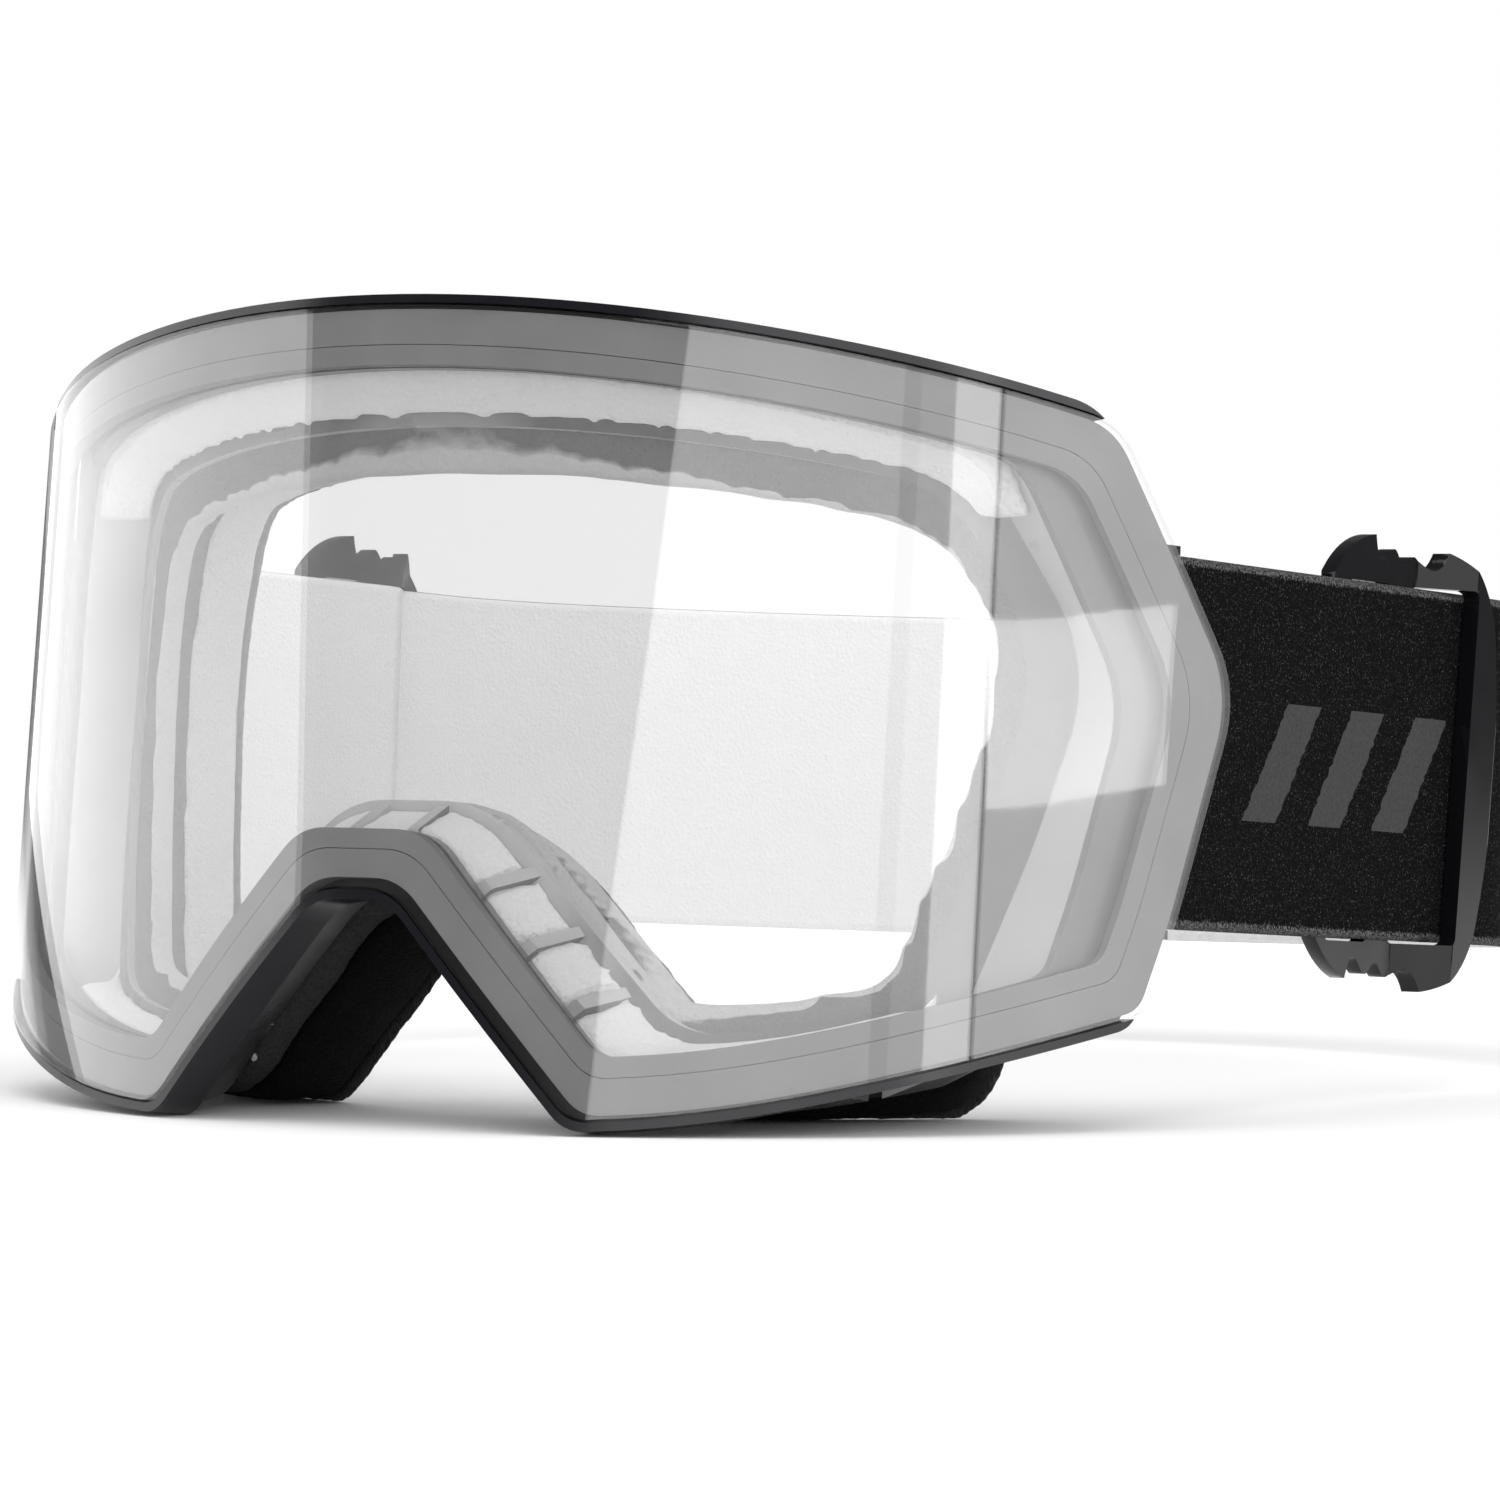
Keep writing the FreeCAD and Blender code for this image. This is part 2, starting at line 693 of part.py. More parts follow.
def pad(body, sketch, length):
    """Thickens a sketch evenly both ways, by a length given as an expression."""
    feature = body.newObject("PartDesign::Pad", sketch.Name + "_pad")
    feature.Profile = sketch
    feature.setExpression("Length", length)
    feature.Midplane = True
    return feature


def pocket_through(body, sketch):
    """Cuts a sketch right through the body, both ways."""
    before = body.Shape.Volume
    feature = body.newObject("PartDesign::Pocket", sketch.Name + "_pocket")
    feature.Profile = sketch
    feature.Midplane = True
    feature.Type = "ThroughAll"
    doc.recompute()
    if body.Shape.Volume >= before:
        raise RuntimeError("%s cuts nothing" % feature.Name)
    return feature


# ---------------------------------------------------------------- strap
STRAIGHT_END = size("strap_straight_end")
FOLD_TAIL = 3.0


def strap_side(name, side):
    """The outer run: from the fold round the anchor bar straight back past the slider."""
    body = new_body(name)
    sketch = new_sketch(body, name + "_profile", "XY_Plane")
    centre = (side * BAR_X, ANCHOR_Y)
    inner, outer = FOLD_RADIUS - STRAP / 2, FOLD_RADIUS + STRAP / 2
    outer_faces = (side * (OUTER_X - STRAP / 2), side * (OUTER_X + STRAP / 2))
    inner_faces = (side * (INNER_X + STRAP / 2), side * (INNER_X - STRAP / 2))
    curves = [arc(centre, inner, 180, 360), arc(centre, outer, 180, 360)]
    for x in outer_faces:
        curves.append(line((x, ANCHOR_Y), (x, STRAIGHT_END)))
    for x in inner_faces:
        curves.append(line((x, ANCHOR_Y), (x, ANCHOR_Y + FOLD_TAIL)))
    curves.append(line((outer_faces[0], STRAIGHT_END), (outer_faces[1], STRAIGHT_END)))
    curves.append(line((inner_faces[0], ANCHOR_Y + FOLD_TAIL), (inner_faces[1], ANCHOR_Y + FOLD_TAIL)))
    add_curves(sketch, curves)
    pad(body, sketch, "Sizes.strap_width")
    body.Placement = strap_frame()
    return body


def strap_rear():
    """The loop behind the head: two tight corners and one long bend, tangent to each other."""
    body = new_body("strap_rear")
    sketch = new_sketch(body, "strap_rear_profile", "XY_Plane")
    turn = size("strap_corner_turn")
    corner_radius = size("strap_corner_radius")
    corner_x = OUTER_X - corner_radius
    end_x = corner_x + corner_radius * math.cos(math.radians(turn))
    end_y = STRAIGHT_END + corner_radius * math.sin(math.radians(turn))
    bend_radius = end_x / math.cos(math.radians(turn))
    bend_y = end_y - bend_radius * math.sin(math.radians(turn))
    curves = []
    for shift in (-STRAP / 2, STRAP / 2):
        curves.append(arc((corner_x, STRAIGHT_END), corner_radius + shift, 0, turn))
        curves.append(arc((-corner_x, STRAIGHT_END), corner_radius + shift, 180 - turn, 180))
        curves.append(arc((0, bend_y), bend_radius + shift, turn, 180 - turn))
    for side in (1, -1):
        near, far = side * (OUTER_X - STRAP / 2), side * (OUTER_X + STRAP / 2)
        curves.append(line((near, STRAIGHT_END), (far, STRAIGHT_END)))
    add_curves(sketch, curves)
    pad(body, sketch, "Sizes.strap_width")
    body.Placement = strap_frame()
    return body


def strap_inner(name, side):
    """The doubled-back run: straight from the fold's end to the slider's middle bar."""
    body = new_body(name)
    sketch = new_sketch(body, name + "_profile", "XY_Plane")
    near, far = side * (INNER_X - STRAP / 2), side * (INNER_X + STRAP / 2)
    start_y = ANCHOR_Y + FOLD_TAIL
    end_y = SLIDER_Y + CENTRE_BAR_HALF + INNER_OVERLAP
    corners = [(near, start_y), (far, start_y), (far, end_y), (near, end_y)]
    add_curves(sketch, [line(corners[index - 1], corners[index]) for index in range(4)])
    pad(body, sketch, "Sizes.strap_width")
    body.Placement = strap_frame()
    return body


# ---------------------------------------------------------------- slider
SLIDER_Y = size("slider_depth")
SLIDER_THICK = size("slider_thickness")
FRONT_END = -20.0
REAR_END = FRONT_END + size("slider_length")
CENTRE_BAR_HALF = 3.0
RAMP_START = 4.2
RAMP_END = 13.2
RAMP_SHIFT = 0.9
CORNER = 1.2
BEND_ROUND = 0.5
INNER_OVERLAP = 1.0
SLOT_FRONT = 4.6
SLOT_BACK = 0.6
CUT_MARGIN = 5.0
FRONT_FALL = 7.2
REAR_FALL = 9.6
REAR_BOW = 2.6
# the serrated edge, as (along, drop from the top)
TEETH = [(-8.5, 0.0), (-5.4, -2.8), (-2.6, -1.2), (0.1, -3.1), (2.9, -1.4), (5.5, -2.5), (8.8, 0.0)]


def slider_ear(sign):
    """The serrated top or bottom edge of the slider, from its front corner to its rear corner."""
    top = size("slider_height") / 2 * sign
    wave = Part.BSplineCurve()
    wave.interpolate([Vector(SLIDER_Y + y, top + drop * sign, 0) for y, drop in TEETH])
    front_corner = Vector(SLIDER_Y + FRONT_END, top - FRONT_FALL * sign, 0)
    front_bulge = Vector(SLIDER_Y + FRONT_END + 4.8, top - 2.6 * sign, 0)
    rear_bulge = Vector(SLIDER_Y + REAR_END - 6.8, top - 3.4 * sign, 0)
    rear_corner = Vector(SLIDER_Y + REAR_END - REAR_BOW, top - REAR_FALL * sign, 0)
    first = Vector(SLIDER_Y + TEETH[0][0], top, 0)
    last = Vector(SLIDER_Y + TEETH[-1][0], top, 0)
    return [Part.Arc(front_corner, front_bulge, first), wave, Part.Arc(last, rear_bulge, rear_corner)]


def slider_turn():
    """The slider's own lean on the strap: its top stands further back than its foot."""
    return Placement(Vector(0, 0, 0), Rotation(Vector(1, 0, 0), -size("slider_turn")), Vector(0, SLIDER_Y, 0))


def slider(name, side):
    """A stepped plate: its front and middle bars lie inside the outer strap, its rear bar outside."""
    body = new_body(name)
    inboard = BAR_X - SLIDER_THICK / 2
    outboard = BAR_X + SLIDER_THICK / 2
    step = size("slider_joggle")
    profile = [
        (outboard, FRONT_END),
        (outboard, RAMP_START),
        (outboard + step, RAMP_END),
        (outboard + step, REAR_END),
        (inboard + step, REAR_END),
        (inboard + step, RAMP_END + RAMP_SHIFT),
        (inboard, RAMP_START + RAMP_SHIFT),
        (inboard, FRONT_END),
    ]
    strip = new_sketch(body, name + "_strip", "XY_Plane")
    path = [(side * x, SLIDER_Y + y) for x, y in profile]
    add_curves(strip, rounded_path(path, BEND_ROUND))
    pad(body, strip, "Sizes.slider_height + 2")
    doc.recompute()
    outline = new_sketch(body, name + "_outline", "YZ_Plane")
    half_window = size("slider_window_height") / 2
    ends = size("slider_height") / 2
    curves = slider_ear(1) + slider_ear(-1)
    curves.append(line((SLIDER_Y + FRONT_END, ends - FRONT_FALL), (SLIDER_Y + FRONT_END, FRONT_FALL - ends)))
    rear_x, rear_z = SLIDER_Y + REAR_END, ends - REAR_FALL
    bow = (Vector(rear_x - REAR_BOW, rear_z, 0), Vector(rear_x, 0, 0), Vector(rear_x - REAR_BOW, -rear_z, 0))
    curves.append(Part.Arc(*bow))
    front, back = SLIDER_Y + FRONT_END - CUT_MARGIN, SLIDER_Y + REAR_END + CUT_MARGIN
    high = ends + CUT_MARGIN
    corners = [(front, -high), (back, -high), (back, high), (front, high)]
    curves += [line(corners[index - 1], corners[index]) for index in range(4)]
    add_curves(outline, curves)
    pocket_through(body, outline)
    slots = new_sketch(body, name + "_slots", "YZ_Plane")
    for first, last in ((FRONT_END + SLOT_FRONT, -CENTRE_BAR_HALF), (CENTRE_BAR_HALF, RAMP_END + SLOT_BACK)):
        # the slots' ends run along the strap, which the slider leans against
        slot = []
        for along, end in ((first, -half_window), (last, -half_window), (last, half_window), (first, half_window)):
            slot.append((SLIDER_Y + along, end + along * math.tan(math.radians(size("slider_turn")))))
        add_curves(slots, rounded_path(slot, CORNER))
    pocket_through(body, slots)
    body.Placement = strap_frame().multiply(slider_turn())
    return body


# ---------------------------------------------------------------- anchors
ARM_PLAY = 0.2
ARM_HALF = 1.9
# how far out from the middle each arm's root stands, where the frame wall is
ARM_ROOTS = ((1, 75.5), (-1, 77.5))

relief_shape = cylinder_shell(R_LENS + OVERRUN, SEAT_BACK - BOND).transformed(mask_frame.toMatrix())
anchor_relief = doc.addObject("Part::Feature", "anchor_relief")
anchor_relief.Shape = relief_shape.fuse(frame_body.Shape)


def anchor(name, side):
    """The bar that the strap folds round, with an arm above and below it, let into the frame wall."""
    pieces = []
    for order, (sign, root) in enumerate(ARM_ROOTS, start=1):
        arm_profile = [
            (BAR_X + ARM_HALF, ANCHOR_Y - ARM_HALF),
            (BAR_X + ARM_HALF, ANCHOR_Y + ARM_HALF),
            (BAR_X - ARM_HALF, ANCHOR_Y + ARM_HALF),
            (root, ANCHOR_Y - 4.5),
            (root, ANCHOR_Y - 12.5),
            (root + 6.0, ANCHOR_Y - 12.5),
        ]
        body = new_body("%s_arm_%d" % (name, order))
        sketch = new_sketch(body, "%s_arm_profile_%d" % (name, order), "XY_Plane")
        add_curves(sketch, rounded_path([(side * x, y) for x, y in arm_profile], CORNER))
        pad(body, sketch, "Sizes.anchor_arm")
        height = sign * (STRAP_HALF + ARM_PLAY + size("anchor_arm") / 2)
        body.Placement = strap_frame().multiply(Placement(Vector(0, 0, height), Rotation()))
        pieces.append(body)
    bar = doc.addObject("Part::Cylinder", name + "_bar")
    bar.setExpression("Radius", "Sizes.anchor_bar_radius")
    bar.setExpression("Height", "Sizes.strap_width + Sizes.anchor_arm + %g" % (2 * ARM_PLAY))
    foot = -STRAP_HALF - ARM_PLAY - size("anchor_arm") / 2
    bar.Placement = strap_frame().multiply(Placement(Vector(side * BAR_X, ANCHOR_Y, foot), Rotation()))
    pieces.append(bar)
    bracket = doc.addObject("Part::MultiFuse", name + "_bracket")
    bracket.Shapes = pieces
    trimmed = doc.addObject("Part::Cut", name)
    trimmed.Base = bracket
    trimmed.Tool = anchor_relief
    trimmed.Label = name
    return trimmed


for word, side in (("left", 1), ("right", -1)):
    anchor("anchor_" + word, side)
    strap_side("strap_" + word, side)
    strap_inner("strap_inner_" + word, side)
    slider("slider_" + word, side)
strap_rear()

# ---------------------------------------------------------------- check and write
SUB_PARTS = [
    "lens_outer",
    "lens_inner",
    "lens_gasket",
    "lens_carrier",
    "lens_magnets",
    "front_rim",
    "rim_magnets",
    "frame_body",
    "vent_foam_crown",
    "vent_foam_lower",
    "foam_base",
    "foam_core",
    "face_fleece",
    "strap_rear",
]
for word in ("left", "right"):
    SUB_PARTS += [kind + word for kind in ("anchor_", "strap_", "strap_inner_", "slider_")]

doc.recompute()
for piece in doc.Objects:
    if "Invalid" in piece.State or "Error" in piece.State:
        raise RuntimeError("%s failed" % piece.Label)
shapes = {name: doc.getObjectsByLabel(name)[0].Shape for name in SUB_PARTS}
for name, shape in shapes.items():
    if shape.isNull() or not shape.isValid():
        raise RuntimeError("%s has a bad shape" % name)
os.makedirs("parts", exist_ok=True)
for name, shape in shapes.items():
    shape.exportStep("parts/%s.step" % name)
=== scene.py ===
"""The looks of the ski goggles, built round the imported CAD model. Metres, in the CAD model's own frame."""
import json
import math
import random

import bmesh
import bpy
import numpy
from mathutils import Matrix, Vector, bvhtree


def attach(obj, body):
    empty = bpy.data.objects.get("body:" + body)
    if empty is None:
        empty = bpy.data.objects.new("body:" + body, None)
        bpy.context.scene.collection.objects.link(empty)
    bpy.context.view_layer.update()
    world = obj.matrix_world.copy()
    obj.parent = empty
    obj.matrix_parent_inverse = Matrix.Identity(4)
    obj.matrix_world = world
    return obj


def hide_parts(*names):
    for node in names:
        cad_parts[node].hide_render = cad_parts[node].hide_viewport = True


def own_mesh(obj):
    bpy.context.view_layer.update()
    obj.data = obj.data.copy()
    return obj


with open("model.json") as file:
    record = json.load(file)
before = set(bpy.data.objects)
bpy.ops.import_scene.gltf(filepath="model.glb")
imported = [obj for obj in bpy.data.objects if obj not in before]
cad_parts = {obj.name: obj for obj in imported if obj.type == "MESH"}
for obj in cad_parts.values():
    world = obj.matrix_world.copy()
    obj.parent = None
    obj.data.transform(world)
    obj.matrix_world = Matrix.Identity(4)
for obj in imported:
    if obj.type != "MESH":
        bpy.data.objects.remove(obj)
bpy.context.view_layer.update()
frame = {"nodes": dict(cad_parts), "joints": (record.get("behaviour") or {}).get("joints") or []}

MM = 0.001
NODES = frame["nodes"]
JOINTS = {joint["name"]: joint for joint in frame["joints"]}
SIDES = (("left", 1), ("right", -1))


# ---------------------------------------------------------------- camera, floor and light
CAMERA_PLACE = (0.5783, -0.9333, 0.07395)
CAMERA_AZIMUTH = 32.0
CAMERA_DIP = 1.419
FOCAL_LENGTH = 187.1
SENSOR_WIDTH = 36.0


def add_camera():
    """A long lens, low and to the wearer's left of the goggles."""
    camera = bpy.data.objects.new("camera", bpy.data.cameras.new("camera"))
    camera.data.lens = FOCAL_LENGTH
    camera.data.sensor_width = SENSOR_WIDTH
    camera.location = CAMERA_PLACE
    camera.rotation_euler = (math.radians(90 - CAMERA_DIP), 0, math.radians(CAMERA_AZIMUTH))
    bpy.context.scene.collection.objects.link(camera)
    bpy.context.scene.camera = camera


LIGHT_CENTRE = Vector((0, -0.04, 0.05))
PANEL_STEPS = 16


def direction(azimuth, elevation):
    """A unit vector from angles in degrees. Azimuth 0 is straight ahead, 90 the wearer's left."""
    turn, rise = math.radians(azimuth), math.radians(elevation)
    return Vector((math.sin(turn) * math.cos(rise), -math.cos(turn) * math.cos(rise), math.sin(rise)))


def glow_material(name, near, far, near_azimuth, far_azimuth):
    """Light of one strength, or one that changes evenly from one azimuth to another."""
    tree = Tree(name)
    if near == far:
        return tree.finish(tree.add("Emission", {"Color": grey(1.0), "Strength": near}).outputs[0])
    parts = tree.add("SeparateXYZ", {0: tree.place}).outputs
    ahead = tree.maths("MULTIPLY", parts["Y"], -1.0)
    turn = tree.maths("ARCTAN2", parts["X"], ahead)
    strength = tree.spread(turn, math.radians(near_azimuth), math.radians(far_azimuth), near, far)
    return tree.finish(tree.add("Emission", {"Color": grey(1.0), "Strength": strength}).outputs[0])


def add_softbox(name, left, right, low, high, lights, distance=1.6):
    """A curved softbox.

    left and right give the azimuth of its side edges at its foot and at its head, low and high the
    elevation of its foot and head at its left and right end, and lights the strength at two azimuths.
    """
    points, faces = [], []
    for step in range(PANEL_STEPS + 1):
        share = step / PANEL_STEPS
        for row, ends in enumerate((low, high)):
            elevation = ends[0] + (ends[1] - ends[0]) * share
            azimuth = left[row] + (right[row] - left[row]) * share
            points.append(LIGHT_CENTRE + direction(azimuth, elevation) * distance)
    for step in range(PANEL_STEPS):
        start = step * 2
        faces.append((start, start + 2, start + 3, start + 1))
    box = new_object(name, mesh_from(name, points, faces))
    dress(box, glow_material(name, *lights))
    box.visible_camera = False


# how bright the white surroundings are in a reflection
MIRRORED_WHITE = 0.16
# a slanted edge: the azimuth and elevation of one point on it, and its azimuth's change with elevation
RIGHT_EDGE = (8.7, 8.5, 0.945)
LEFT_EDGE = (-45.6, 7.6, -0.9)
FOOT, HEAD = 0.5, 34.0


def slanted(edge):
    """Where a slanted edge stands at the softboxes' foot and head."""
    azimuth, height, slope = edge
    return tuple(azimuth + slope * (elevation - height) for elevation in (FOOT, HEAD))


def even(strength):
    """The same strength from edge to edge."""
    return strength, strength, 0.0, 1.0


def add_lights():
    """Two large softboxes with a dim gap between them, then narrow strips, a side panel and a top."""
    low, high = (FOOT, FOOT), (HEAD, HEAD)
    dim_edge, bright_edge = (45.3, 45.3), (48.0, 47.4)
    side_edge, far_edge = (53.0, 52.4), (59.5, 58.5)
    side_start, side_end = (60.1, 59.3), (104.0, 104.0)
    fronts = (
        ("softbox_left_hand", slanted(RIGHT_EDGE), dim_edge, 1.95),
        ("strip_dim", dim_edge, bright_edge, 1.4),
        ("strip_soft", bright_edge, side_edge, 1.8),
        ("strip_bright", side_edge, far_edge, 4.0),
    )
    add_softbox("softbox_right_hand", (-128.0, -128.0), slanted(LEFT_EDGE), (-1.0, FOOT), high, even(1.9))
    for name, left, right, strength in fronts:
        add_softbox(name, left, right, low, high, even(strength))
    add_softbox("softbox_side", side_start, side_end, low, high, (2.2, 1.8, 70.0, 90.0))
    add_softbox("side_patch", side_start, (86.5, 86.5), (6.95, 4.35), (9.3, 6.5), even(4.6), 1.5)
    add_softbox("softbox_top", (-60.0, -60.0), (110.0, 110.0), (60.0, 60.0), (85.0, 85.0), even(2.6), 1.2)


def add_world():
    """White all round, but dimmer in reflections, as a dark studio beyond the white paper would be."""
    world = bpy.data.worlds.new("studio")
    world.use_nodes = True
    tree = world.node_tree
    mirrored = tree.nodes.new("ShaderNodeLightPath").outputs["Is Glossy Ray"]
    strength = tree.nodes.new("ShaderNodeMapRange")
    strength.inputs["To Min"].default_value = 1.0
    strength.inputs["To Max"].default_value = MIRRORED_WHITE
    tree.links.new(mirrored, strength.inputs["Value"])
    tree.links.new(strength.outputs["Result"], tree.nodes["Background"].inputs["Strength"])
    tree.nodes["Background"].inputs["Color"].default_value = (1, 1, 1, 1)
    bpy.context.scene.world = world
    bpy.context.scene.view_settings.view_transform = "Standard"


# ---------------------------------------------------------------- material nodes
EYE_CENTRE = (0.0, 0.0, 0.062)
POLYCARBONATE = 1.585


class Tree:
    """A material's node tree, with short words for the nodes that these materials use."""

    def __init__(self, name):
        self.material = bpy.data.materials.new(name)
        self.material.use_nodes = True
        self.tree = self.material.node_tree
        self.tree.nodes.clear()
        self.output = self.tree.nodes.new("ShaderNodeOutputMaterial")
        self.place = self.tree.nodes.new("ShaderNodeTexCoord").outputs["Object"]

    def add(self, kind, inputs=None, **settings):
        node = self.tree.nodes.new("ShaderNode" + kind)
        for key, value in settings.items():
            setattr(node, key, value)
        for key, value in (inputs or {}).items():
            if isinstance(value, bpy.types.NodeSocket):
                self.tree.links.new(value, node.inputs[key])
            else:
                node.inputs[key].default_value = value
        return node

    def noise(self, size, detail=2.0, roughness=0.5):
        """Noise whose lumps are about size metres across."""
        inputs = {"Vector": self.place, "Scale": 1 / size, "Detail": detail, "Roughness": roughness}
        return self.add("TexNoise", inputs).outputs["Fac"]

    def cells(self, size):
        """Distance to the nearest of scattered points about size metres apart."""
        inputs = {"Vector": self.place, "Scale": 1 / size}
        return self.add("TexVoronoi", inputs).outputs["Distance"]

    def maths(self, operation, first, second=0.0):
        return self.add("Math", {0: first, 1: second}, operation=operation).outputs[0]

    def spread(self, value, low, high, to_low=0.0, to_high=1.0):
        """Stretches a value from one range to another, held at the ends."""
        inputs = {"Value": value, "From Min": low, "From Max": high, "To Min": to_low, "To Max": to_high}
        return self.add("MapRange", inputs).outputs["Result"]

    def blend(self, factor, first, second):
        """A mix of two colours."""
        node = self.add("Mix", data_type="RGBA")
        for socket, value in zip((node.inputs[0], node.inputs[6], node.inputs[7]), (factor, first, second)):
            if isinstance(value, bpy.types.NodeSocket):
                self.tree.links.new(value, socket)
            else:
                socket.default_value = value
        return node.outputs[2]

    def bump(self, height, distance, strength=1.0, normal=None):
        inputs = {"Height": height, "Distance": distance, "Strength": strength}
        if normal is not None:
            inputs["Normal"] = normal
        return self.add("Bump", inputs).outputs["Normal"]

    def outside(self, low, high):
        """0 to 1 as a face turns from the eye space, or straight forwards, to look away from it."""
        facing = self.add("TexCoord").outputs["Normal"]
        away = self.add("VectorMath", {0: self.place, 1: EYE_CENTRE}, operation="SUBTRACT").outputs[0]
        away = self.add("VectorMath", {0: away, 1: (1.0, 0.0, 1.0)}, operation="MULTIPLY").outputs[0]
        product = self.add("VectorMath", {0: away, 1: facing}, operation="DOT_PRODUCT").outputs["Value"]
        return self.spread(product, low, high)

    def principled(self, **inputs):
        names = {key.replace("_", " "): value for key, value in inputs.items()}
        return self.add("BsdfPrincipled", names).outputs["BSDF"]

    def finish(self, shader):
        self.tree.links.new(shader, self.output.inputs["Surface"])
        return self.material


def grey(value, blue=0.0):
    return (value, value, value + blue, 1)


def lens_material(name, roughness, tint, mirror, haze):
    """Clear polycarbonate: it mirrors by angle, scatters a little light and lets the rest through."""
    tree = Tree(name)
    behind = tree.add("NewGeometry").outputs["Backfacing"]
    index = tree.spread(behind, 0.0, 1.0, POLYCARBONATE, 1 / POLYCARBONATE)
    mirrored = tree.maths("MULTIPLY", tree.add("Fresnel", {"IOR": index}).outputs[0], mirror)
    smear = tree.spread(tree.noise(0.03, 3.0), 0.4, 0.7, roughness, roughness * 2)
    through = tree.add("BsdfTransparent", {"Color": grey(tint)}).outputs[0]
    shine = tree.add("BsdfGlossy", {"Color": grey(1.0), "Roughness": smear}).outputs[0]
    clear = tree.add("MixShader", {0: mirrored, 1: through, 2: shine}).outputs[0]
    if haze:
        milky = tree.add("BsdfDiffuse", {"Color": grey(0.95)}).outputs[0]
        misted = tree.spread(tree.noise(0.02, 3.0), 0.3, 0.7, haze * 0.9, haze * 1.1)
        clear = tree.add("MixShader", {0: misted, 1: clear, 2: milky}).outputs[0]
    return tree.finish(clear)


def plastic_material(name, value, roughness, grain, depth, blue=0.002, specular=0.5, inner_tone_and_light=None):
    """Moulded plastic with a fine grain and faint uneven gloss, and perhaps a paler inner side, partly its
    own colour and partly painted light.
    """
    tree = Tree(name)
    colour = tree.blend(tree.noise(0.012, 3.0), grey(value, blue), grey(value * 1.5, blue * 1.6))
    # Paler inner side: partly the plastic's own colour, partly painted light standing in for the lens haze
    # and reflections seen over it.
    if inner_tone_and_light:
        inner_colour_and_light = tree.blend(tree.noise(0.02, 3.0), grey(inner_tone_and_light * 0.85), grey(inner_tone_and_light * 1.15))
        colour = tree.blend(tree.outside(0.001, 0.006), inner_colour_and_light, colour)
    gloss = tree.spread(tree.noise(0.008, 4.0), 0.35, 0.7, roughness * 0.8, roughness * 1.25)
    fine = tree.bump(tree.noise(grain, 2.0), depth, 0.6)
    inputs = {"Base_Color": colour, "Roughness": gloss, "Normal": fine, "Specular_IOR_Level": specular}
    return tree.finish(tree.principled(**inputs))


def foam_material(name, dark, light, inner_tone_and_light, inner_side, cell, depth):
    """Open-cell foam: small round pits with painted shade in them, and a paler inner side, partly its own
    colour and partly painted light.
    """
    tree = Tree(name)
    pits = tree.cells(cell)
    fine = tree.noise(cell * 0.6, 3.0)
    # Painted shade: the pits are coloured darker than the foam between them, as shade falls in them.
    pit_shading = tree.spread(pits, 0.15, 0.6)
    patches = tree.blend(tree.noise(0.009, 3.0), grey(dark), grey(light))
    colour = tree.blend(tree.maths("MULTIPLY", pit_shading, fine), patches, grey(light * 1.35))
    # Paler inner side: partly the foam's own colour, partly painted light standing in for the lens haze and
    # reflections seen over it.
    inner_colour_and_light = tree.blend(fine, grey(inner_tone_and_light * 0.85), grey(inner_tone_and_light * 1.15))
    colour = tree.blend(tree.outside(*inner_side), inner_colour_and_light, colour)
    raised = tree.bump(tree.maths("ADD", pits, fine), depth)
    inputs = {"Base_Color": colour, "Roughness": 0.95, "Normal": raised, "Specular_IOR_Level": 0.1}
    return tree.finish(tree.principled(**inputs))


def fleece_material(name):
    """Brushed fleece: short matted fibres in soft clumps."""
    tree = Tree(name)
    clumps = tree.noise(0.0026, 4.0, 0.65)
    fibres = tree.noise(0.0005, 5.0, 0.8)
    colour = tree.blend(tree.maths("MULTIPLY", clumps, fibres), grey(0.006), grey(0.055))
    raised = tree.bump(fibres, 0.5 * MM, 1.0, tree.bump(clumps, 1.2 * MM, 0.9))
    inputs = {"Base_Color": colour, "Roughness": 1.0, "Normal": raised, "Specular_IOR_Level": 0.1}
    return tree.finish(tree.principled(Sheen_Weight=0.2, Sheen_Roughness=0.45, **inputs))


STITCH = 0.55 * MM


